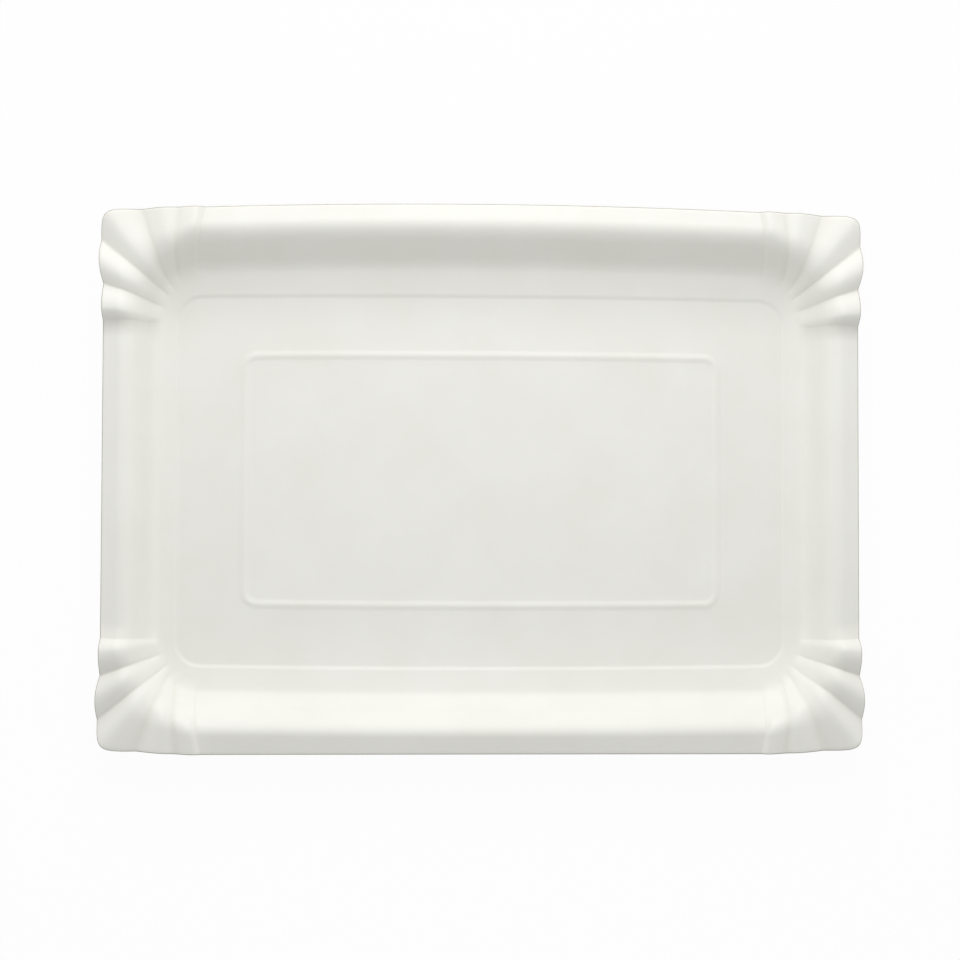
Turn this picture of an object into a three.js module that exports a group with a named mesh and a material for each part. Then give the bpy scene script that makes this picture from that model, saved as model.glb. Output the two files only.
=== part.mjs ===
// A rectangular takeaway tray pressed from one sheet of white coated board.
// Millimetres, +Z up. The base rests on z = 0, the long sides run along X, and the origin
// is under the middle of the overall outline.
// The sheet is a loft between matched loops: the line round the base, the top of the small
// step, the foot of the wall, the crest and the cut edge. Each corner is gathered in flutes.

import * as THREE from "three";

// Overall outline between the straight edges, and the board.
const straight_length = 227.7;
const straight_width = 163.9;
const board = 0.5;

// Widths in plan of the zones that follow each other from the edge inwards.
const side_rim = 7.9;
const side_wall = 9.1;
const side_slope = 7.7;
const side_step = 1.8;
const end_rim = 7.6;
const end_wall = 6.7;
const end_slope = 5.5;
const end_step = 1.9;

// The front side's rim is wider than the back's by this much, and its wall narrower.
const front_rim_extra = 1.1;

// Rises of the same zones, from the base outwards.
const step_rise = 0.6;
const slope_rise = 1.6;
const wall_rise = 11.7;
const rim_drop = 1.9;

// How far the roundings reach in plan: the one at the foot of the wall to each side, and
// the one at its crest in over the wall and out over the rim.
const foot_reach = 1.9;
const crest_wall_reach = 3;
const crest_rim_reach = 3.4;

// The long sides bow outwards: the back side, the front side within its edge, and the base.
const back_bow = 1.6;
const front_bow = 0.7;
const base_bow = 0.7;

// The rounded corners of the wall's foot, along the long side and along the short end.
const foot_corner_x = 13.4;
const foot_corner_y = 17.2;

// The base has rounded corners and a raised bead that frames its middle panel.
const base_corner = 7;
const bead_side_margin = 17.5;
const bead_end_margin = 19.8;
const bead_width = 3.6;
const bead_rise = 0.3;
const bead_corner = 4.1;
const bead_bow = 0.4;

// Valleys between the flutes of a corner, from the straight end round to the straight side.
// foot is the angle round the foot of the wall, end_run or side_run the distance along the
// edge from the corner, stand how far the edge stands out there from the straight edge, and
// lift how high it lies above the straight edge.
const end_valleys = [
  { foot: 0, end_run: 34.8, stand: 0, lift: 0 },
  { foot: 19, end_run: 23.5, stand: -0.1, lift: 0.7 },
  { foot: 35, end_run: 10.5, stand: 0.6, lift: 0.6 },
];
const side_valleys = [
  { foot: 46, side_run: 10.9, stand: -1.1, lift: 0.6 },
  { foot: 60, side_run: 22.4, stand: -0.3, lift: 1 },
  { foot: 90, side_run: 30.2, stand: 0, lift: 0 },
];

// The flutes between those valleys: how high the ridge stands above the straight edge, its
// place from one valley to the next, how sharp the valleys beside it are, and how far the edge
// bulges out. Ridges lean to the straight rim beside them, and the middle one is the corner.
const flutes = [
  { rise: 3.4, ridge: 0.36, sharpness: 1, bulge: 0.3 },
  { rise: 3, ridge: 0.48, sharpness: 1, bulge: 1.5 },
  { rise: 2.5, ridge: 0.5, sharpness: 1, bulge: 0 },
  { rise: 1.9, ridge: 0.6, sharpness: 0.7, bulge: 0.2 },
  { rise: 1.6, ridge: 0.7, sharpness: 0.8, bulge: 0.1 },
];
const corner_square = 0.95;

// How far inside the foot of the wall the flutes start, at the end and at the side of a
// corner, and the power by which they grow outwards.
const end_flute_start = 1.8;
const side_flute_start = 3;
const flute_growth = 0.6;

// A rounding takes up no more than this share of the run that it cuts into, and the board's
// drop to its under face counts no slope steeper than the one with this cosine.
const longest_bend_share = 0.48;
const steepest_cosine = 0.4;

// Steps of the mesh along the loops and across the section.
const steps = { flute_face: 3, long_run: 4, short_run: 2, bead_corner: 4 };
const bends = { foot: 3, wall: 2, crest: 4, rim: 2 };

const half_length = straight_length / 2;
const half_width = straight_width / 2;
const centre_shift = -back_bow / 2;
const quarter_turn = Math.PI / 2;
const last = (list) => list[list.length - 1];
const mix = (a, b, share) => a + (b - a) * share;

// A point of one quarter of a rounded rectangle. run.part says which stretch it is on, and
// run.at how far along: 0 is the middle of the stretch and 1 its corner end, or for a
// corner 0 to 1 is the turn from the short end to the long side.
function quarterPoint(rectangle, run) {
  const straight_x = rectangle.x - rectangle.corner_x;
  const straight_y = rectangle.y - rectangle.corner_y;
  if (run.part === "end") return new THREE.Vector2(rectangle.x, straight_y * run.at);
  if (run.part === "side") return new THREE.Vector2(straight_x * run.at, rectangle.y);
  const turn = run.at * quarter_turn;
  return new THREE.Vector2(
    straight_x + rectangle.corner_x * Math.cos(turn),
    straight_y + rectangle.corner_y * Math.sin(turn),
  );
}

// The rectangles of the base line, of the top of the step and of the foot of the wall.
function baseRectangle(grown) {
  return {
    x: half_length - end_rim - end_wall - end_slope - end_step * (1 - grown),
    y: half_width - side_rim - side_wall - side_slope - side_step * (1 - grown),
    corner_x: base_corner + end_step * grown,
    corner_y: base_corner + side_step * grown,
  };
}

function footRectangle() {
  return {
    x: half_length - end_rim - end_wall,
    y: half_width - side_rim - side_wall,
    corner_x: foot_corner_x,
    corner_y: foot_corner_y,
  };
}

function beadRectangle(offset) {
  const base = baseRectangle(0);
  const corner = Math.max(bead_corner + offset, board);
  return {
    x: base.x - bead_end_margin + offset,
    y: base.y - bead_side_margin + offset,
    corner_x: corner,
    corner_y: corner,
  };
}

// The curves that the edge follows at the corner, one for each flute: a shallow bow between
// two valleys, and one rounded corner.
function fluteEdges() {
  const ends = end_valleys.map(
    (valley) => new THREE.Vector2(half_length + valley.stand, half_width - valley.end_run),
  );
  const sides = side_valleys.map(
    (valley) => new THREE.Vector2(half_length - valley.side_run, half_width + valley.stand),
  );
  const bowed = (from, to, bulge, outward) =>
    new THREE.QuadraticBezierCurve(
      from,
      from.clone().add(to).multiplyScalar(0.5).addScaledVector(outward, bulge),
      to,
    );
  const out_x = new THREE.Vector2(1, 0);
  const out_y = new THREE.Vector2(0, 1);
  const start = last(ends);
  const finish = sides[0];
  const square = new THREE.Vector2(start.x, finish.y);
  return [
    bowed(ends[0], ends[1], flutes[0].bulge, out_x),
    bowed(ends[1], ends[2], flutes[1].bulge, out_x),
    new THREE.CubicBezierCurve(
      start,
      start.clone().lerp(square, corner_square),
      finish.clone().lerp(square, corner_square),
      finish,
    ),
    bowed(sides[0], sides[1], flutes[3].bulge, out_y),
    bowed(sides[1], sides[2], flutes[4].bulge, out_y),
  ];
}

const flute_edges = fluteEdges();
const valleys = [...end_valleys, ...side_valleys];
const flute_feet = valleys.map((valley) => valley.foot / 90);

// Height of a flute's edge above the straight edge: from valley to valley in a straight
// line, with the ridge on top of it as a sine, which a low sharpness rounds in the valleys.
function fluteLift(flute, at) {
  const { rise, ridge, sharpness } = flutes[flute];
  const floor = (place) => mix(valleys[flute].lift, valleys[flute + 1].lift, place);
  const climb = at < ridge ? at / ridge : (1 - at) / (1 - ridge);
  const share = Math.sin(climb * quarter_turn) ** (1 / sharpness);
  return floor(at) + (rise - floor(ridge)) * share;
}

// The stations of one quarter, from the middle of the short end to the middle of the side.
function quarterStations() {
  const found = [];
  for (let k = 0; k < steps.short_run; k++) {
    found.push({ part: "end", at: k / steps.short_run });
  }
  flute_edges.forEach((curve, flute) => {
    const { ridge } = flutes[flute];
    for (let k = 0; k < 2 * steps.flute_face; k++) {
      const face = k / steps.flute_face;
      const place = face < 1 ? ridge * face : mix(ridge, 1, face - 1);
      found.push({
        part: "corner",
        at: mix(flute_feet[flute], flute_feet[flute + 1], place),
        flute,
        place,
      });
    }
  });
  for (let k = 0; k <= steps.long_run; k++) {
    found.push({ part: "side", at: 1 - k / steps.long_run });
  }
  return found;
}

// The four quarters in turn, counterclockwise, each with the signs of its corner.
function roundStations(quarter) {
  const forward = quarter.slice(0, -1);
  const backward = quarter.slice(1).reverse();
  return [
    ...forward.map((run) => ({ ...run, x: 1, y: 1 })),
    ...backward.map((run) => ({ ...run, x: -1, y: 1 })),
    ...forward.map((run) => ({ ...run, x: -1, y: -1 })),
    ...backward.map((run) => ({ ...run, x: 1, y: -1 })),
  ];
}

// Bow of a long side at a station: full in the middle and nothing at the corners.
function bowAt(run, back, front) {
  if (run.part !== "side") return 0;
  return (1 - run.at * run.at) * (run.y > 0 ? back : front);
}

// A quarter point with its height, put in its own quarter of the tray.
function placed(point, run, bow, height) {
  return new THREE.Vector3(
    point.x * run.x,
    (point.y + bow) * run.y + centre_shift,
    height,
  );
}

// Where the edge and its height lie at a station, and how high its flute stands there.
function edgeAt(run) {
  const straight = { x: half_length, y: half_width };
  const field = {
    corner_x: last(side_valleys).side_run,
    corner_y: end_valleys[0].end_run,
  };
  if (run.part !== "corner") {
    return { point: quarterPoint({ ...straight, ...field }, run), lift: 0 };
  }
  return {
    point: flute_edges[run.flute].getPoint(run.place),
    lift: fluteLift(run.flute, run.place),
  };
}

// How far round the corner a station lies: 0 on the short end and 1 on the long side.
function sideShare(run) {
  if (run.part === "corner") return run.at;
  return run.part === "side" ? 1 : 0;
}

// Points on a bend that starts at one point, aims at a corner and ends at another.
function bend(from, corner, to, count) {
  const curve = new THREE.QuadraticBezierCurve3(from, corner, to);
  return curve.getPoints(count).slice(1);
}

// The upper face of the board along one station, from the base line out to the edge.
function section(run) {
  const bow = bowAt(run, back_bow, front_bow);
  const edge_bow = bowAt(run, back_bow, 0);
  const share = sideShare(run);
  const step_top = board + step_rise;
  const foot_height = step_top + slope_rise;
  const crest_height = foot_height + wall_rise;

  const inner_bow = bowAt(run, base_bow, base_bow);
  const base_line = placed(quarterPoint(baseRectangle(0), run), run, inner_bow, board);
  const step_line = placed(quarterPoint(baseRectangle(1), run), run, inner_bow, step_top);
  const foot = placed(quarterPoint(footRectangle(), run), run, bow, foot_height);
  const { point, lift } = edgeAt(run);
  const edge = placed(point, run, edge_bow, crest_height - rim_drop);

  const extra = run.y < 0 ? front_rim_extra : 0;
  const wall_width = mix(end_wall, side_wall - extra, share);
  const slope_width = mix(end_slope, side_slope, share);
  const rim_width = mix(end_rim, side_rim + extra, share);

  const reach = Math.hypot(edge.x - foot.x, edge.y - foot.y);
  const crest = foot.clone().lerp(edge, wall_width / reach);
  crest.z = crest_height;
  const foot_in = Math.min(foot_reach / slope_width, longest_bend_share);
  const foot_out = Math.min(foot_reach / wall_width, longest_bend_share);
  const crest_in = Math.min(crest_wall_reach / wall_width, longest_bend_share);
  const crest_out = Math.min(crest_rim_reach / rim_width, longest_bend_share);

  const foot_start = foot.clone().lerp(step_line, foot_in);
  const foot_end = foot.clone().lerp(crest, foot_out);
  const crest_start = crest.clone().lerp(foot, crest_in);
  const crest_end = crest.clone().lerp(edge, crest_out);

  const points = [
    base_line,
    step_line,
    foot_start,
    ...bend(foot_start, foot, foot_end, bends.foot),
    ...bend(foot_end, foot_end.clone().lerp(crest_start, 0.5), crest_start, bends.wall),
    ...bend(crest_start, crest, crest_end, bends.crest),
    ...bend(crest_end, crest_end.clone().lerp(edge, 0.5), edge, bends.rim),
  ];
  const flute_start = mix(end_flute_start, side_flute_start, share);
  const flute_root = foot.clone().lerp(step_line, flute_start / slope_width);
  raiseFlute(points, flute_root, edge, lift);
  return points;
}

// A flute grows from nothing at its root to its full rise at the edge.
function raiseFlute(points, root, edge, lift) {
  const span = Math.hypot(edge.x - root.x, edge.y - root.y);
  for (const point of points) {
    const out = (point.x - root.x) * (edge.x - root.x) + (point.y - root.y) * (edge.y - root.y);
    const share = Math.max(out / (span * span), 0);
    point.z += lift * share ** flute_growth;
  }
}

// The under face keeps the board's thickness across the slope: each point drops by the
// thickness over the cosine of the slope there. The resting face stays flat.
function underside(rings) {
  const stations = rings[0].length;
  return rings.map((ring, j) =>
    ring.map((point, i) => {
      const along = ring[(i + 1) % stations].clone().sub(ring[(i + stations - 1) % stations]);
      const outer = rings[Math.min(j + 1, rings.length - 1)][i];
      const across = outer.clone().sub(rings[Math.max(j - 1, 0)][i]);
      const level = Math.abs(across.cross(along).normalize().z);
      const drop = j === 0 ? board : board / Math.max(level, steepest_cosine);
      return new THREE.Vector3(point.x, point.y, point.z - drop);
    }),
  );
}

// A growing list of corners and triangles, closed at the end into one mesh.
class Sheet {
  constructor() {
    this.points = [];
    this.triangles = [];
  }

  // Adds a loop of points and gives back their numbers.
  loop(points) {
    const start = this.points.length;
    this.points.push(...points);
    return points.map((point, i) => start + i);
  }

  // Joins two loops of the same length, the first inside or above the second.
  strip(first, second, flipped) {
    first.forEach((a, i) => {
      const next = (i + 1) % first.length;
      this.face(a, second[i], second[next], flipped);
      this.face(a, second[next], first[next], flipped);
    });
  }

  // Fills a flat loop, less the loop that it may have inside.
  fill(outer, inner, flipped) {
    const flat = (loop) => loop.map((n) => new THREE.Vector2(this.points[n].x, this.points[n].y));
    const all = [...outer, ...inner];
    const holes = inner.length ? [flat(inner)] : [];
    for (const [a, b, c] of THREE.ShapeUtils.triangulateShape(flat(outer), holes)) {
      const turn = THREE.ShapeUtils.area(flat([all[a], all[b], all[c]])) < 0;
      this.face(all[a], all[b], all[c], flipped !== turn);
    }
  }

  face(a, b, c, flipped) {
    this.triangles.push(...(flipped ? [a, c, b] : [a, b, c]));
  }

  geometry() {
    const made = new THREE.BufferGeometry().setFromPoints(this.points);
    made.setIndex(this.triangles);
    made.computeVertexNormals();
    return made;
  }
}

// The loops of the raised bead, from its outer side inwards, on the upper face.
function beadLoops() {
  const quarter = [
    { part: "end", at: 0 },
    ...Array.from({ length: steps.bead_corner + 1 }, (unused, k) => ({
      part: "corner",
      at: k / steps.bead_corner,
    })),
    ...Array.from({ length: steps.long_run }, (unused, k) => ({
      part: "side",
      at: 1 - (k + 1) / steps.long_run,
    })),
  ];
  const across = [1, 0.5, 0, -0.5, -1];
  const panel_shift = (back_bow - front_bow) / 2;
  return across.map((side) => {
    const rectangle = beadRectangle((side * bead_width) / 2);
    const height = board + (bead_rise * (1 + Math.cos(side * Math.PI))) / 2;
    return roundStations(quarter).map((run) => {
      const point = placed(quarterPoint(rectangle, run), run, bowAt(run, bead_bow, bead_bow), height);
      point.y += panel_shift;
      return point;
    });
  });
}

// One face of the sheet: the lofted surround, the flat of the base, the bead and the panel.
function addFace(sheet, rings, bead, flipped) {
  const loops = rings.map((ring) => sheet.loop(ring));
  for (let j = 0; j + 1 < loops.length; j++) sheet.strip(loops[j], loops[j + 1], flipped);
  const raised = bead.map((ring) => sheet.loop(ring));
  for (let j = 0; j + 1 < raised.length; j++) sheet.strip(raised[j + 1], raised[j], flipped);
  sheet.fill(loops[0], raised[0], flipped);
  sheet.fill(last(raised), [], flipped);
  return last(loops);
}

function trayGeometry() {
  const sections = roundStations(quarterStations()).map(section);
  const rings = sections[0].map((unused, j) => sections.map((points) => points[j]));
  const bead = beadLoops();
  const lowered = bead.map((ring) =>
    ring.map((point) => new THREE.Vector3(point.x, point.y, point.z - board)),
  );
  const sheet = new Sheet();
  const top_edge = addFace(sheet, rings, bead, false);
  const low_edge = addFace(sheet, underside(rings), lowered, true);
  sheet.strip(top_edge, low_edge, false);
  return sheet.geometry();
}

// White coated board, matt to satin.
function coatedBoard() {
  return new THREE.MeshStandardMaterial({
    color: 0xebeae4,
    roughness: 0.55,
    metalness: 0,
    name: "coated_board",
  });
}

function tray() {
  const mesh = new THREE.Mesh(trayGeometry(), coatedBoard());
  mesh.name = "tray";
  return mesh;
}

const part = new THREE.Group();
part.name = "rectangular_tray";
part.add(tray());

export default part;
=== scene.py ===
# %% [markdown]
# A pressed board tray
#
# This lesson dresses one object: a shallow takeaway tray pressed from a single sheet of white
# coated board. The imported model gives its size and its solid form. Here the same form is drawn
# again as one fine surface, with the soft roundings, creases and fibres of real board.
# The frame is loaded first, because everything is measured from it, in metres.

# %% Load the frame
import math

import bpy
import numpy as np
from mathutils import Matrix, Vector


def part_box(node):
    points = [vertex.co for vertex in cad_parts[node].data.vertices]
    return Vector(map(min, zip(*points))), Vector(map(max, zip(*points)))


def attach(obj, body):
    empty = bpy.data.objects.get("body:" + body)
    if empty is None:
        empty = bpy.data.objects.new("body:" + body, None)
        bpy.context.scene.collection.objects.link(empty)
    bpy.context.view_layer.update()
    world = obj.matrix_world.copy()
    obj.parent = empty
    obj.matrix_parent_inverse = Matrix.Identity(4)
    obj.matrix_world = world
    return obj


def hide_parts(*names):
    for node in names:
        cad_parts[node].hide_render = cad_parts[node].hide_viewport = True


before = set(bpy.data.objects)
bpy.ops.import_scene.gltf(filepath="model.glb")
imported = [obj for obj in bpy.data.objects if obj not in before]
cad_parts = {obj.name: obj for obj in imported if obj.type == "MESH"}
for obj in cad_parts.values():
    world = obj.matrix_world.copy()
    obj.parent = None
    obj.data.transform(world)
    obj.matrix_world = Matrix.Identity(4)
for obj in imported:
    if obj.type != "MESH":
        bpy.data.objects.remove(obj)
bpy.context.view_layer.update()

box_low, box_high = (np.array(corner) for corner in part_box("tray"))
box_size = box_high - box_low
MM = 0.001
print("tray box in mm:", np.round(box_size / MM, 2))

# %% [markdown]
# Sizes of the pressed form
#
# A press tool is drawn from a few widths and rises. From the cut edge inwards come the rim that
# turns down, the steep wall, a gentle slope and a small step to the flat base. The corners are
# gathered in five flutes each. Only the overall size is taken from the frame's box: the flutes
# stand out a little past the short ends and the back side bows, so that much comes off first.

# %% Driving sizes
flare = 1.041 * MM
back_bow = 1.6 * MM
front_bow = 0.7 * MM
base_bow = 0.7 * MM
half_length = box_size[0] / 2 - flare
half_width = (box_size[1] - back_bow) / 2
centre_shift = -back_bow / 2
board = 0.5 * MM

# Each pair is the width at the short end, then at the long side.
rim_width = np.array([7.6, 7.9]) * MM
wall_width = np.array([6.7, 9.1]) * MM
slope_width = np.array([5.5, 7.7]) * MM
step_width = np.array([1.9, 1.8]) * MM
front_rim_extra = 1.1 * MM

step_rise = 0.6 * MM
slope_rise = 1.6 * MM
wall_rise = 11.7 * MM
rim_drop = 1.9 * MM

foot_reach = 1.9 * MM
crest_wall_reach = 3.0 * MM
crest_rim_reach = 3.4 * MM
longest_bend_share = 0.48
base_corner = 7 * MM
foot_corner_x = 13.4 * MM
foot_corner_y = 17.2 * MM
print("straight edges in mm:", round(half_length / MM * 2, 2), round(half_width / MM * 2, 2))

# %% [markdown]
# Flutes
#
# Board can't shrink, so where the wall turns the corner the spare length folds up into
# flutes. Each flute is a rounded ridge between two sharp valleys. The ridge leans towards the
# straight rim, which leaves a short steep face there and a long gentle one towards the corner.
# The valleys are given by where they start round the foot of the wall and where they meet the
# edge, as a press tool's creasing ribs would be.

# %% Flute sizes
# Angles round the foot of the wall, as shares of the quarter turn.
valley_feet = np.array([0, 19, 35, 46, 60, 90]) / 90

# Distances from the corner along the edge, how far the edge stands out, and heights.
end_runs = np.array([34.8, 23.5, 10.5]) * MM
end_stands = np.array([0.0, -0.1, 0.6]) * MM
side_runs = np.array([10.9, 22.4, 30.2]) * MM
side_stands = np.array([-1.1, -0.3, 0.0]) * MM
valley_lifts = np.array([0, 0.7, 0.6, 0.6, 1.0, 0]) * MM
flute_rises = np.array([3.4, 3.0, 2.5, 1.9, 1.6]) * MM
flute_bulges = np.array([0.3, 1.5, 0.0, 0.2, 0.1]) * MM

# How far inside the foot a flute starts, at the short end and at the long side.
flute_start = np.array([1.8, 3.0]) * MM
flute_growth = 0.6
ridge_places = np.array([0.36, 0.48, 0.5, 0.6, 0.7])
valley_sharpness = np.array([1.0, 1.0, 1.0, 0.7, 0.8])
corner_square = 0.95
flute_count = len(flute_rises)
corner_flute = flute_count // 2
print("flutes at a corner:", flute_count, "rising in mm:", np.round(flute_rises / MM, 1))

# %% [markdown]
# Stations round the tray
#
# The surface is a grid. One direction runs round the tray in stations, and the other runs
# across the section. A quarter is worked out once, from the middle of a short end, round one
# corner, to the middle of a long side. Four mirrored copies in turn close the loop, so all
# corners match.

# %% Stations
END, CORNER, SIDE = 0, 1, 2
end_steps, flute_steps, side_steps = 10, 26, 22


def quarter_stations():
    """Part, place along it and flute of each station of a quarter, evenly spaced in each part:
    a straight part runs from 0 in its middle to 1 at the corner, and a corner from 0 to 1."""
    ends = np.linspace(0, 1, end_steps, endpoint=False)
    places = np.tile(np.linspace(0, 1, flute_steps, endpoint=False), flute_count)
    flutes = np.repeat(np.arange(flute_count), flute_steps)
    turns = valley_feet[flutes] + places * (valley_feet[flutes + 1] - valley_feet[flutes])
    sides = np.linspace(1, 0, side_steps + 1)
    part = np.repeat([END, CORNER, SIDE], [len(ends), len(turns), len(sides)])
    at = np.concatenate([ends, turns, sides])
    flute = np.concatenate([np.zeros(len(ends), int), flutes, np.zeros(len(sides), int)])
    place = np.concatenate([np.zeros(len(ends)), places, np.zeros(len(sides))])
    return np.stack([part, at, flute, place])


def round_stations(quarter):
    """The quarter and its mirror images in turn, counterclockwise, with each corner's signs."""
    forward, backward = quarter[:, :-1], quarter[:, :0:-1]
    loop = np.concatenate([forward, backward, forward, backward], axis=1)
    counts = [forward.shape[1], backward.shape[1]] * 2
    return loop, np.repeat([1, -1, -1, 1], counts), np.repeat([1, 1, -1, -1], counts)


(part, at, flute, place), sign_x, sign_y = round_stations(quarter_stations())
flute = flute.astype(int)
at_corner = part == CORNER
side_share = np.where(at_corner, at, part == SIDE)
print("stations round the tray:", len(at))

# %% [markdown]
# Loops
#
# Every zone starts and ends on a loop: a rounded rectangle whose long sides bow outwards a
# little, as the real tray's do. The cut edge is such a loop too, except in the corners, where it
# follows one short curve for each flute.

# %% Loops


def rounded_rectangle(half_x, half_y, corner_x, corner_y):
    """Points on a rectangle with quarter ellipses for corners: straight parts in proportion to
    the station's place, and corners at that share of a quarter turn."""
    straight_x, straight_y = half_x - corner_x, half_y - corner_y
    turn = at * math.pi / 2
    x = np.select(
        [part == END, part == SIDE],
        [half_x, straight_x * at],
        straight_x + corner_x * np.cos(turn),
    )
    y = np.select(
        [part == END, part == SIDE],
        [straight_y * at, half_y],
        straight_y + corner_y * np.sin(turn),
    )
    return x, y


def in_place(x, y, bow_back, bow_front, height):
    """Quarter points moved out by the bow, which falls off as the square of the place along the
    side, then mirrored into their own quarter and set at a height."""
    bow = np.where(sign_y > 0, bow_back, bow_front) * np.where(part == SIDE, 1 - at**2, 0)
    height = np.broadcast_to(height, x.shape)
    return np.stack([x * sign_x, (y + bow) * sign_y + centre_shift, height], axis=1)


def flute_edge_controls():
    """Four control points for each flute's edge curve: a shallow bow between two valleys is a
    quadratic curve raised to a cubic, and the corner flute's curve turns the corner."""
    ends = np.stack([half_length + end_stands, half_width - end_runs], axis=1)
    sides = np.stack([half_length - side_runs, half_width + side_stands], axis=1)
    valleys = np.concatenate([ends, sides])
    starts, stops = valleys[:-1], valleys[1:]
    outward = np.array([[1, 0], [1, 0], [0, 0], [0, 1], [0, 1]])
    middles = (starts + stops) / 2 + outward * flute_bulges[:, None]
    first = starts + (middles - starts) * 2 / 3
    second = stops + (middles - stops) * 2 / 3
    square = np.array([ends[-1, 0], sides[0, 1]])
    first[corner_flute] = ends[-1] + (square - ends[-1]) * corner_square
    second[corner_flute] = sides[0] + (square - sides[0]) * corner_square
    return np.stack([starts, first, second, stops], axis=1)


def edge_loop():
    """The cut edge in quarter coordinates: straight parts as a rectangle whose corners are as
    long as the flutes, and flutes on their cubic curves."""
    x, y = rounded_rectangle(half_length, half_width, side_runs[-1], end_runs[0])
    u = place[:, None]
    weights = np.stack([(1 - u) ** 3, 3 * u * (1 - u) ** 2, 3 * u**2 * (1 - u), u**3], axis=1)
    curve = (flute_edge_controls()[flute] * weights).sum(axis=1)
    return np.where(at_corner, curve[:, 0], x), np.where(at_corner, curve[:, 1], y)


print("cut edge reaches in mm:", np.round(np.max(edge_loop(), axis=1) / MM, 2))

# %% [markdown]
# The section
#
# Across the section the sheet follows a few straight runs with round bends between them. A
# bend is a quadratic curve that aims at the corner of the two runs, which is how board bends
# over a tool's radius. The step is too small for a bend, so it is an S between two levels.
# Round the corners the wall stays as wide as beside them, and the rim takes up what is left.
# On the front side the rim is a little wider than on the back, and the wall narrower.

# %% The section
bends = {"step": 6, "slope": 4, "foot": 9, "wall": 8, "crest": 14, "rim": 8}


def bend(start, corner, stop, count):
    """Points after the start on a quadratic curve: the squares of the two shares weigh the ends,
    and twice their product weighs the corner."""
    t = np.linspace(0, 1, count + 1)[1:, None]
    return (
        start[:, None] * (1 - t) ** 2
        + corner[:, None] * 2 * t * (1 - t)
        + stop[:, None] * t**2
    )


def straight(start, stop, count):
    """Evenly spaced points after the start on a straight run."""
    return bend(start, (start + stop) / 2, stop, count)


def s_step(start, stop, count):
    """A straight run in plan whose height goes from level to level as a smooth S."""
    points = straight(start, stop, count)
    t = np.linspace(0, 1, count + 1)[1:]
    points[..., 2] = start[:, 2:] + (stop - start)[:, 2:] * t**2 * (3 - 2 * t)
    return points


def width_at(width_pair):
    """A zone's width at each station, between its widths at the short end and long side."""
    return width_pair[0] + (width_pair[1] - width_pair[0]) * side_share


def share_toward(width, reach):
    """A reach as a share of the zone's width at each station, up to about half of it."""
    return np.minimum(reach / width, longest_bend_share)[:, None]


def ridge_shares():
    """Share of the ridge at each station: a quarter sine up from the valley to the ridge and
    another one down, to a power that is one for a sharp valley and more for a soft one."""
    ridge = ridge_places[flute]
    climb = np.where(place < ridge, place / ridge, (1 - place) / (1 - ridge))
    share = np.sin(climb * math.pi / 2) ** (1 / valley_sharpness[flute])
    return np.where(at_corner, share, 0)


def edge_lifts():
    """How far the edge is lifted at each station: a straight line from valley to valley, and on
    it the ridge, as high as is left to its full rise."""
    before, after = valley_lifts[flute], valley_lifts[flute + 1]
    floor_here = before + (after - before) * place
    floor_at_ridge = before + (after - before) * ridge_places[flute]
    lift = floor_here + (flute_rises[flute] - floor_at_ridge) * ridge_shares()
    return np.where(at_corner, lift, 0)


def section_points():
    """The upper face as stations by points, from the base line out to the cut edge."""
    inset = rim_width + wall_width + slope_width
    step_top = board + step_rise
    foot_height = step_top + slope_rise
    crest_height = foot_height + wall_rise
    x, y = rounded_rectangle(
        half_length - inset[0] - step_width[0],
        half_width - inset[1] - step_width[1],
        base_corner,
        base_corner,
    )
    base_line = in_place(x, y, base_bow, base_bow, board)
    x, y = rounded_rectangle(
        half_length - inset[0],
        half_width - inset[1],
        base_corner + step_width[0],
        base_corner + step_width[1],
    )
    step_line = in_place(x, y, base_bow, base_bow, step_top)
    wall_inset = rim_width + wall_width
    x, y = rounded_rectangle(
        half_length - wall_inset[0],
        half_width - wall_inset[1],
        foot_corner_x,
        foot_corner_y,
    )
    foot = in_place(x, y, back_bow, front_bow, foot_height)
    edge = in_place(*edge_loop(), back_bow, 0.0, crest_height - rim_drop)

    extra = np.where(sign_y < 0, front_rim_extra * side_share, 0)
    slope_here = width_at(slope_width)
    wall_here = width_at(wall_width) - extra
    rim_here = width_at(rim_width) + extra
    reach = np.linalg.norm((edge - foot)[:, :2], axis=1)
    crest = foot + (edge - foot) * (wall_here / reach)[:, None]
    crest[:, 2] = crest_height

    foot_start = foot + (step_line - foot) * share_toward(slope_here, foot_reach)
    foot_end = foot + (crest - foot) * share_toward(wall_here, foot_reach)
    crest_start = crest + (foot - crest) * share_toward(wall_here, crest_wall_reach)
    crest_end = crest + (edge - crest) * share_toward(rim_here, crest_rim_reach)

    points = np.concatenate(
        [
            base_line[:, None],
            s_step(base_line, step_line, bends["step"]),
            straight(step_line, foot_start, bends["slope"]),
            bend(foot_start, foot, foot_end, bends["foot"]),
            straight(foot_end, crest_start, bends["wall"]),
            bend(crest_start, crest, crest_end, bends["crest"]),
            straight(crest_end, edge, bends["rim"]),
        ],
        axis=1,
    )
    flute_root = foot + (step_line - foot) * (width_at(flute_start) / slope_here)[:, None]
    return points, flute_root, edge


def raise_flutes(points, root, edge):
    """Lifts each point by its edge's lift times a power of how far out the point lies, so a
    flute grows from nothing at its root just inside the foot of the wall."""
    run = (edge - root)[:, :2]
    out = ((points[..., :2] - root[:, None, :2]) * run[:, None]).sum(axis=2)
    share = np.clip(out / (run**2).sum(axis=1)[:, None], 0, None)
    points[..., 2] += edge_lifts()[:, None] * share**flute_growth
    return share


def fit_height(points):
    """Heights above the base scaled a little, so that the highest point meets the frame's."""
    top = points[..., 2].max()
    points[..., 2] = board + (points[..., 2] - board) * (box_size[2] - board) / (top - board)


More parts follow.
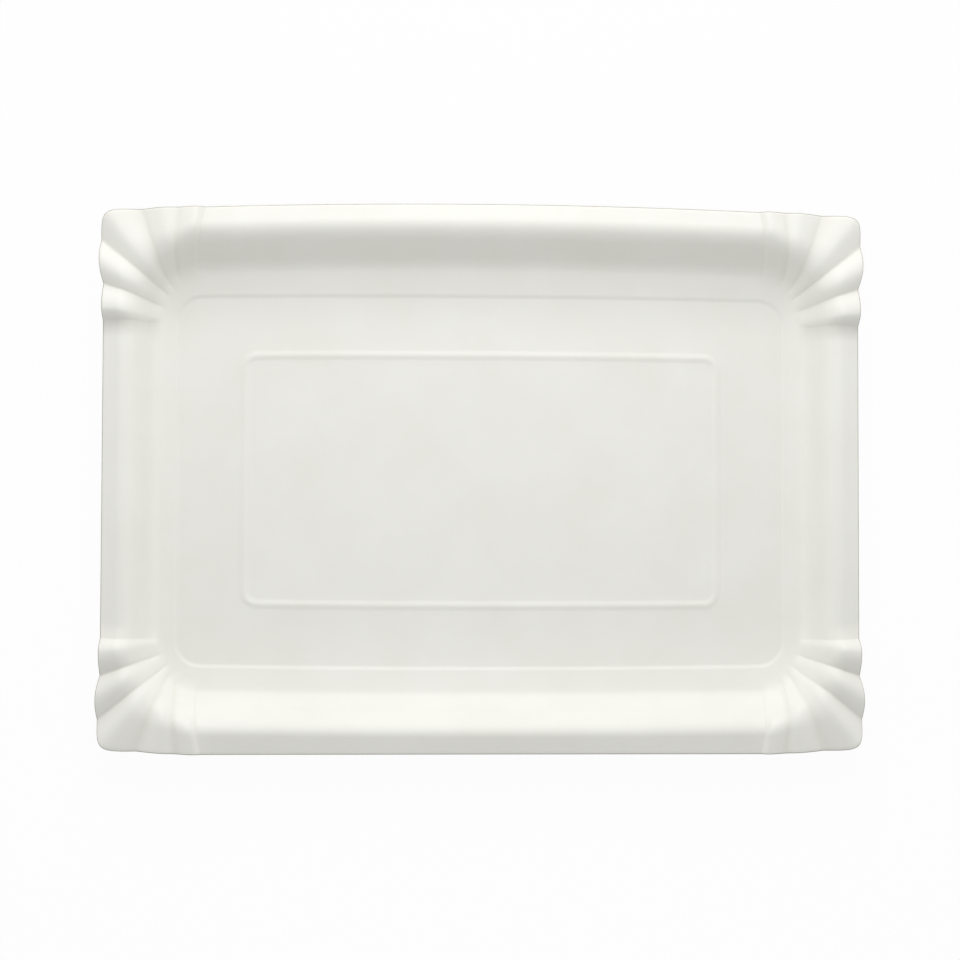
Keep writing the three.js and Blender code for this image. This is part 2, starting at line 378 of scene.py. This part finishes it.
upper, flute_root, edge_line = section_points()
outwardness = raise_flutes(upper, flute_root, edge_line)
print("drawn height in mm:", round(upper[..., 2].max() / MM, 3))
fit_height(upper)
print("section points:", upper.shape[1], "highest in mm:", round(upper[..., 2].max() / MM, 2))

# %% [markdown]
# The bead
#
# A low raised bead frames the middle of the base and stiffens it. Its section is one wave
# of a cosine, carried round a small rounded rectangle that uses the same stations.

# %% The bead
bead_margin = np.array([19.8, 17.5]) * MM
bead_width = 3.6 * MM
bead_rise = 0.3 * MM
bead_corner = 4.1 * MM
bead_bow = 0.4 * MM
bead_steps = 12


def bead_points():
    """Loops across the bead from its outer side inwards: the height is half of one plus the
    cosine of half a turn for each half width away from its middle line."""
    inset = rim_width + wall_width + slope_width + step_width + bead_margin
    across = np.linspace(1, -1, bead_steps + 1)
    loops = []
    for side in across:
        offset = side * bead_width / 2
        corner = bead_corner + offset
        x, y = rounded_rectangle(
            half_length - inset[0] + offset, half_width - inset[1] + offset, corner, corner
        )
        height = board + bead_rise * (1 + math.cos(side * math.pi)) / 2
        loop = in_place(x, y, bead_bow, bead_bow, height)
        loop[:, 1] += (back_bow - front_bow) / 2
        loops.append(loop)
    return np.stack(loops, axis=1)


bead = bead_points()
print("bead in mm:", np.round(np.ptp(bead.reshape(-1, 3), axis=0) / MM, 2))

# %% [markdown]
# From sheet to board
#
# The upper face runs from the middle panel out to the edge. The under face repeats it lower
# down. Board keeps its thickness when it is pressed, so each point drops by the thickness
# over the cosine of the slope there, found from the cross product of the two grid directions.
# A few narrow loops round the cut edge close the two faces.

# %% The board's two faces
steepest_cosine = 0.4
face_up = np.concatenate([bead[:, ::-1], upper], axis=1)


def under_face(points):
    """The grid dropped by the board's thickness over the cosine of its slope."""
    along = np.roll(points, -1, axis=0) - np.roll(points, 1, axis=0)
    across = np.gradient(points, axis=1)
    normal = np.cross(across, along)
    level = np.abs(normal[..., 2]) / np.linalg.norm(normal, axis=2)
    lowered = points.copy()
    lowered[..., 2] -= board / np.clip(level, steepest_cosine, 1)
    return lowered


face_down = under_face(face_up)
flat_loops = bead_steps + 2
face_down[:, :flat_loops, 2] = face_up[:, :flat_loops, 2] - board

edge_softness = 0.45
edge_steps = 6


def cut_edge_loops(top, bottom):
    """Loops down the cut edge. Both faces' last points are first pulled in by a share of the
    thickness, and the loops between them swell out again as the root of the sine of the way
    down, so that the edge is softly rounded."""
    outward = top[:, -1] - top[:, -2]
    outward[:, 2] = 0
    outward /= np.linalg.norm(outward, axis=1)[:, None]
    pull = outward * board * edge_softness
    top[:, -1] -= pull
    bottom[:, -1] -= pull
    t = np.linspace(0, 1, edge_steps + 1)[1:-1][None, :, None]
    swell = np.sqrt(np.sin(t * math.pi))
    return top[:, -1:] * (1 - t) + bottom[:, -1:] * t + pull[:, None] * swell


cut_edge = cut_edge_loops(face_up, face_down)
grid = np.concatenate([face_up, cut_edge, face_down[:, ::-1]], axis=1)
print("grid:", grid.shape, "triangles:", 2 * grid.shape[0] * grid.shape[1])

# %% [markdown]
# One mesh
#
# The grid closes on itself round the tray. Its first loop is the outline of the middle
# panel's upper face and its last the outline of the panel's under face, and each is closed by
# one flat many-sided face. Two attributes go with the points, for the material to read: how far
# into a crease a point lies, where shade is painted, and how close to a ridge.

# %% Build the mesh
UP, EDGE, UNDER = 0, 1, 2


def quad_faces(stations, loops):
    """Corner numbers of the quads between neighbouring stations and loops, facing out."""
    i = np.arange(stations)[:, None]
    j = np.arange(loops - 1)[None, :]
    after = (i + 1) % stations
    quads = np.stack(
        [i * loops + j, i * loops + j + 1, after * loops + j + 1, after * loops + j], axis=-1
    )
    return quads.reshape(-1, 4), np.broadcast_to(j, (stations, loops - 1)).ravel()


def tray_mesh(points):
    """A closed mesh of the grid's quads and the two flat panels, with a material number from
    the loop that each quad lies on."""
    stations, loops, _ = points.shape
    quads, band = quad_faces(stations, loops)
    first_loop = np.arange(stations) * loops
    panel_up = first_loop
    panel_under = (first_loop + loops - 1)[::-1]
    mesh = bpy.data.meshes.new("tray_board")
    faces = quads.tolist() + [panel_up.tolist(), panel_under.tolist()]
    mesh.from_pydata(points.reshape(-1, 3).tolist(), [], faces)
    up_bands = face_up.shape[1] - 1
    edge_bands = cut_edge.shape[1] + 1
    kind = np.select([band < up_bands, band < up_bands + edge_bands], [UP, EDGE], UNDER)
    mesh.polygons.foreach_set("material_index", np.append(kind, [UP, UNDER]).astype(np.int32))
    mesh.polygons.foreach_set("use_smooth", np.ones(len(mesh.polygons), bool))
    mesh.update()
    return mesh


def add_attribute(mesh, name, values):
    """A number for each point of the mesh."""
    layer = mesh.attributes.new(name, "FLOAT", "POINT")
    layer.data.foreach_set("value", values.astype(np.float32).ravel())


def spread(section_values):
    """Values on the upper section set on the whole grid, upper and under face alike."""
    inner = np.zeros((len(at), bead.shape[1]))
    face = np.concatenate([inner, section_values], axis=1)
    edge = np.repeat(face[:, -1:], cut_edge.shape[1], axis=1)
    return np.concatenate([face, edge, face[:, ::-1]], axis=1)


# The crease mask marks where shade is painted into the flute valleys, fading in from each flute's
# root.
crease_shade_fade = 6
crease_shade_width = 0.28
ridge_start = 0.8
board_mesh = tray_mesh(grid)
height_share = ridge_shares()[:, None]
in_flute = at_corner[:, None] * np.clip(outwardness * crease_shade_fade, 0, 1)
valley_shade = in_flute * np.exp(-((height_share / crease_shade_width) ** 2))
ridge = in_flute * np.clip((height_share - ridge_start) / (1 - ridge_start), 0, 1)
add_attribute(board_mesh, "crease_shade", spread(valley_shade))
add_attribute(board_mesh, "ridge", spread(ridge))

tray = bpy.data.objects.new("tray_shell", board_mesh)
bpy.context.collection.objects.link(tray)
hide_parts("tray")
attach(tray, "root")
print("points:", len(board_mesh.vertices), "faces:", len(board_mesh.polygons))

# %% [markdown]
# Node helpers
#
# Materials are node trees. Three small helpers keep them readable: one adds a node and sets
# its values, one links two sockets, and one makes a node group with named inputs and outputs.

# %% Node helpers


def add_node(tree, kind, **values):
    """A node of a kind, with its own settings, and its numbered or named inputs."""
    node = tree.nodes.new(kind)
    inputs = values.pop("inputs", {})
    for name, value in values.items():
        setattr(node, name, value)
    for name, value in inputs.items():
        node.inputs[name].default_value = value
    return node


def new_group(name, inputs, outputs):
    """An empty node group with its sockets, and its input and output nodes."""
    group = bpy.data.node_groups.new(name, "ShaderNodeTree")
    for label, kind, value in inputs:
        socket = group.interface.new_socket(label, in_out="INPUT", socket_type=kind)
        if value is not None:
            socket.default_value = value
    for label, kind in outputs:
        group.interface.new_socket(label, in_out="OUTPUT", socket_type=kind)
    return group, group.nodes.new("NodeGroupInput"), group.nodes.new("NodeGroupOutput")


def new_material(name):
    """A material with an empty tree, its Principled shader and its output joined."""
    material = bpy.data.materials.new(name)
    material.use_nodes = True
    tree = material.node_tree
    tree.nodes.clear()
    shader = tree.nodes.new("ShaderNodeBsdfPrincipled")
    output = tree.nodes.new("ShaderNodeOutputMaterial")
    tree.links.new(shader.outputs["BSDF"], output.inputs["Surface"])
    return material, tree, shader


print("helpers:", [helper.__name__ for helper in (add_node, new_group, new_material)])

# %% [markdown]
# Fibres
#
# Board is felted fibre. Close up, even a coated face shows soft clouds where the fibres lie
# thicker, and fine grain that runs along the machine direction. Both come from noise on
# Object coordinates: a coarse one for the clouds, and a fine one stretched along X for the
# grain. The group gives a cloud value, a grain value and a height for the bump.

# %% The fibre group
machine_stretch = (0.35, 1.0, 1.0)
cloud_noise = {"Detail": 4.0, "Roughness": 0.55}
grain_noise = {"Detail": 3.0, "Roughness": 0.6}
fibre_group, group_in, group_out = new_group(
    "pressed_fibre",
    [
        ("Vector", "NodeSocketVector", None),
        ("Cloud Scale", "NodeSocketFloat", 60.0),
        ("Grain Scale", "NodeSocketFloat", 1400.0),
        ("Grain Share", "NodeSocketFloat", 0.5),
    ],
    [
        ("Cloud", "NodeSocketFloat"),
        ("Grain", "NodeSocketFloat"),
        ("Height", "NodeSocketFloat"),
    ],
)
along_machine = add_node(fibre_group, "ShaderNodeMapping", inputs={"Scale": machine_stretch})
clouds = add_node(fibre_group, "ShaderNodeTexNoise", inputs=cloud_noise)
grain = add_node(fibre_group, "ShaderNodeTexNoise", inputs=grain_noise)
mixed = add_node(fibre_group, "ShaderNodeMix", data_type="FLOAT")
join = fibre_group.links.new
join(group_in.outputs["Vector"], clouds.inputs["Vector"])
join(group_in.outputs["Vector"], along_machine.inputs["Vector"])
join(along_machine.outputs["Vector"], grain.inputs["Vector"])
join(group_in.outputs["Cloud Scale"], clouds.inputs["Scale"])
join(group_in.outputs["Grain Scale"], grain.inputs["Scale"])
join(group_in.outputs["Grain Share"], mixed.inputs[0])
join(clouds.outputs["Fac"], mixed.inputs[2])
join(grain.outputs["Fac"], mixed.inputs[3])
join(clouds.outputs["Fac"], group_out.inputs["Cloud"])
join(grain.outputs["Fac"], group_out.inputs["Grain"])
join(mixed.outputs[0], group_out.inputs["Height"])
print("fibre group nodes:", len(fibre_group.nodes))

# %% [markdown]
# Board finishes
#
# The upper face carries a thin white coating: slightly warm, between matt and satin. The
# under face is bare, greyer and rougher. The cut edge shows the fibre core, in a tone chosen
# to match the thin dark line round the tray in the photograph, so its dark colour is partly the
# core and partly a painted shadow line. All three use the same recipe with other values: the
# clouds shift the colour and the grain the roughness, creases are a little darker with painted
# shade, and ridges a little smoother.

# %% Board finishes
cloud_range = (0.35, 0.65)
# How far the colour is darkened in the creases, as painted shade.
crease_shade_strength = 0.6
roughness_spread = 0.06
ridge_polish = 0.1
relief_depth = 0.06 * MM
specular_level = 0.35


def board_material(name, light, dark, crease_shade_tone, roughness, bump, cloud_scale, grain_scale):
    """Colour between a light and a dark tone by the clouds, turned towards a darker tone in
    the creases as painted shade, with roughness and bump from the same fibres."""
    material, tree, shader = new_material(name)
    link = tree.links.new
    place_node = add_node(tree, "ShaderNodeTexCoord")
    fibre = add_node(tree, "ShaderNodeGroup", node_tree=fibre_group)
    fibre.inputs["Cloud Scale"].default_value = cloud_scale
    fibre.inputs["Grain Scale"].default_value = grain_scale
    link(place_node.outputs["Object"], fibre.inputs["Vector"])

    spread_clouds = add_node(
        tree,
        "ShaderNodeMapRange",
        inputs={"From Min": cloud_range[0], "From Max": cloud_range[1]},
    )
    link(fibre.outputs["Cloud"], spread_clouds.inputs["Value"])
    tone = add_node(tree, "ShaderNodeMix", data_type="RGBA")
    tone.inputs[6].default_value = (*light, 1)
    tone.inputs[7].default_value = (*dark, 1)
    link(spread_clouds.outputs["Result"], tone.inputs[0])

    # Painted shade: the colour is darkened towards a shade tone in the creases.
    crease_shade = add_node(tree, "ShaderNodeAttribute", attribute_name="crease_shade")
    crease_shade_share = add_node(
        tree, "ShaderNodeMath", operation="MULTIPLY", inputs={1: crease_shade_strength}
    )
    link(crease_shade.outputs["Fac"], crease_shade_share.inputs[0])
    shaded_in_creases = add_node(tree, "ShaderNodeMix", data_type="RGBA")
    shaded_in_creases.inputs[7].default_value = (*crease_shade_tone, 1)
    link(crease_shade_share.outputs[0], shaded_in_creases.inputs[0])
    link(tone.outputs[2], shaded_in_creases.inputs[6])
    link(shaded_in_creases.outputs[2], shader.inputs["Base Color"])

    rough = add_node(
        tree,
        "ShaderNodeMapRange",
        inputs={"To Min": roughness - roughness_spread, "To Max": roughness + roughness_spread},
    )
    link(fibre.outputs["Grain"], rough.inputs["Value"])
    ridge_node = add_node(tree, "ShaderNodeAttribute", attribute_name="ridge")
    polished = add_node(
        tree, "ShaderNodeMath", operation="MULTIPLY_ADD", inputs={1: -ridge_polish}
    )
    link(ridge_node.outputs["Fac"], polished.inputs[0])
    link(rough.outputs["Result"], polished.inputs[2])
    link(polished.outputs[0], shader.inputs["Roughness"])

    relief = add_node(
        tree, "ShaderNodeBump", inputs={"Strength": bump, "Distance": relief_depth}
    )
    link(fibre.outputs["Height"], relief.inputs["Height"])
    link(relief.outputs["Normal"], shader.inputs["Normal"])
    shader.inputs["Specular IOR Level"].default_value = specular_level
    return material


coated = board_material(
    "coated_board",
    light=(0.835, 0.83, 0.785),
    dark=(0.81, 0.805, 0.755),
    crease_shade_tone=(0.76, 0.75, 0.69),
    roughness=0.5,
    bump=0.35,
    cloud_scale=45.0,
    grain_scale=900.0,
)
# The cut edge's dark tone is partly the board core and partly a painted shadow line round the
# tray.
core_and_edge_shade = board_material(
    "cut_edge",
    light=(0.45, 0.43, 0.36),
    dark=(0.37, 0.355, 0.29),
    crease_shade_tone=(0.34, 0.325, 0.27),
    roughness=0.85,
    bump=0.8,
    cloud_scale=300.0,
    grain_scale=2200.0,
)
bare = board_material(
    "bare_under_face",
    light=(0.77, 0.755, 0.70),
    dark=(0.73, 0.715, 0.655),
    crease_shade_tone=(0.66, 0.64, 0.58),
    roughness=0.8,
    bump=0.7,
    cloud_scale=70.0,
    grain_scale=1100.0,
)
for finish in (coated, core_and_edge_shade, bare):
    board_mesh.materials.append(finish)
print("finishes:", [finish.name for finish in board_mesh.materials])

# %% [markdown]
# Floor
#
# The tray stands on a plain white floor, a hair under its base so that the two never share a
# plane. For the camera the floor is mixed with a white glow, so that open floor reads as white
# and only a soft contact shadow stays.

# %% Floor
floor_half = 1.5
floor_drop = 0.2 * MM
floor_grey = (0.8, 0.8, 0.8, 1)
glow_share = 0.96


def seen_ray(tree):
    """One for rays from the camera or off a glossy or clear surface, and nothing for the rest."""
    path = add_node(tree, "ShaderNodeLightPath")
    glossy = add_node(tree, "ShaderNodeMath", operation="ADD")
    seen = add_node(tree, "ShaderNodeMath", operation="ADD", use_clamp=True)
    tree.links.new(path.outputs["Is Camera Ray"], glossy.inputs[0])
    tree.links.new(path.outputs["Is Glossy Ray"], glossy.inputs[1])
    tree.links.new(glossy.outputs[0], seen.inputs[0])
    tree.links.new(path.outputs["Is Transmission Ray"], seen.inputs[1])
    return seen.outputs[0]


def floor_material():
    """A diffuse white floor for light, and for the camera a mix of it with a white glow."""
    material = bpy.data.materials.new("white_floor")
    material.use_nodes = True
    tree = material.node_tree
    tree.nodes.clear()
    link = tree.links.new
    diffuse = add_node(tree, "ShaderNodeBsdfDiffuse", inputs={"Color": floor_grey})
    glow = add_node(tree, "ShaderNodeEmission", inputs={"Color": (1, 1, 1, 1), "Strength": 1.0})
    share = add_node(tree, "ShaderNodeMath", operation="MULTIPLY", inputs={1: glow_share})
    mix = add_node(tree, "ShaderNodeMixShader")
    output = add_node(tree, "ShaderNodeOutputMaterial")
    link(seen_ray(tree), share.inputs[0])
    link(share.outputs[0], mix.inputs[0])
    link(diffuse.outputs[0], mix.inputs[1])
    link(glow.outputs[0], mix.inputs[2])
    link(mix.outputs[0], output.inputs["Surface"])
    return material


floor_corners = np.array([(-1, -1), (1, -1), (1, 1), (-1, 1)]) * floor_half
floor_points = np.column_stack([floor_corners, np.full(len(floor_corners), -floor_drop)])
floor_mesh = bpy.data.meshes.new("floor")
floor_mesh.from_pydata(floor_points.tolist(), [], [(0, 1, 2, 3)])
floor_mesh.materials.append(floor_material())
floor = bpy.data.objects.new("floor", floor_mesh)
bpy.context.collection.objects.link(floor)
print("floor width in m:", 2 * floor_half)

# %% [markdown]
# Light
#
# The tray is white on white, so only the light draws it. Two soft lamps stand behind the back
# long side, one near and one low. They brighten what faces back, such as the front wall, and
# leave what faces front in shade. Wide lamps at both ends and at the front fill the walls that
# face them, a small one overhead lights the base, and a pale world fills the rest. The powers
# were first found by rendering each lamp alone and solving for the mix that gives the
# photograph's levels, and were then trimmed.

# %% Light
tray_middle = Vector((0, 0, 0))
world_strength = 0.275


def area_lamp(name, position, size, power):
    """A square soft lamp at a place, aimed at the tray's middle by a track rotation."""
    data = bpy.data.lights.new(name, "AREA")
    data.shape = "SQUARE"
    data.size = size
    data.energy = power
    lamp = bpy.data.objects.new(name, data)
    lamp.location = position
    direction = tray_middle - Vector(position)
    lamp.rotation_euler = direction.to_track_quat("-Z", "Y").to_euler()
    bpy.context.collection.objects.link(lamp)
    return lamp


lamps = [
    area_lamp("back_lamp", position=(0, 0.47, 0.40), size=0.4, power=1.72),
    area_lamp("low_back_lamp", position=(0, 0.97, 0.26), size=0.5, power=1.9),
    area_lamp("top_lamp", position=(0, 0.10, 0.35), size=0.3, power=0.32),
    area_lamp("front_lamp", position=(0, -0.90, 0.33), size=0.8, power=1.0),
    area_lamp("left_lamp", position=(-0.90, 0, 0.33), size=0.8, power=2.25),
    area_lamp("right_lamp", position=(0.90, 0, 0.33), size=0.8, power=2.25),
]


def pale_world(strength):
    """An even world that lights with a strength, and that the camera sees as plain white."""
    world = bpy.data.worlds.new("pale_world")
    world.use_nodes = True
    tree = world.node_tree
    level = add_node(tree, "ShaderNodeMapRange", inputs={"To Min": strength, "To Max": 1.0})
    background = tree.nodes["Background"]
    background.inputs["Color"].default_value = (1, 1, 1, 1)
    tree.links.new(seen_ray(tree), level.inputs["Value"])
    tree.links.new(level.outputs["Result"], background.inputs["Strength"])
    return world


bpy.context.scene.world = pale_world(world_strength)
print("lamps in watts:", {lamp.name: round(lamp.data.energy, 2) for lamp in lamps})

# %% [markdown]
# Camera
#
# The camera looks down from 600 mm above the rim, from a little to the left and to the front
# of straight above, and is turned a hair. That is what makes the right end look slightly
# narrower, the back wall slightly wider, and the long sides run a little downhill. The frame is
# as wide at the rim as the photograph's picture, about 289 mm.

# %% Camera
camera_distance = 600 * MM
rim_height = 11.8 * MM
view_width = 288.7 * MM
lean_left = math.radians(2.4)
lean_front = math.radians(2.0)
roll = math.radians(0.17)
aim = Vector((-0.9 * MM, -0.6 * MM, rim_height))
sensor = 36.0

camera_data = bpy.data.cameras.new("camera")
camera_data.sensor_width = sensor
camera_data.lens = sensor * camera_distance / view_width
camera = bpy.data.objects.new("camera", camera_data)
camera.rotation_euler = (lean_front, -lean_left, roll)
turned = camera.rotation_euler.to_matrix()
camera.location = aim + turned @ Vector((0, 0, camera_distance))
bpy.context.collection.objects.link(camera)
bpy.context.scene.camera = camera
bpy.context.scene.view_settings.view_transform = "Standard"
print("lens in mm:", round(camera_data.lens, 1))
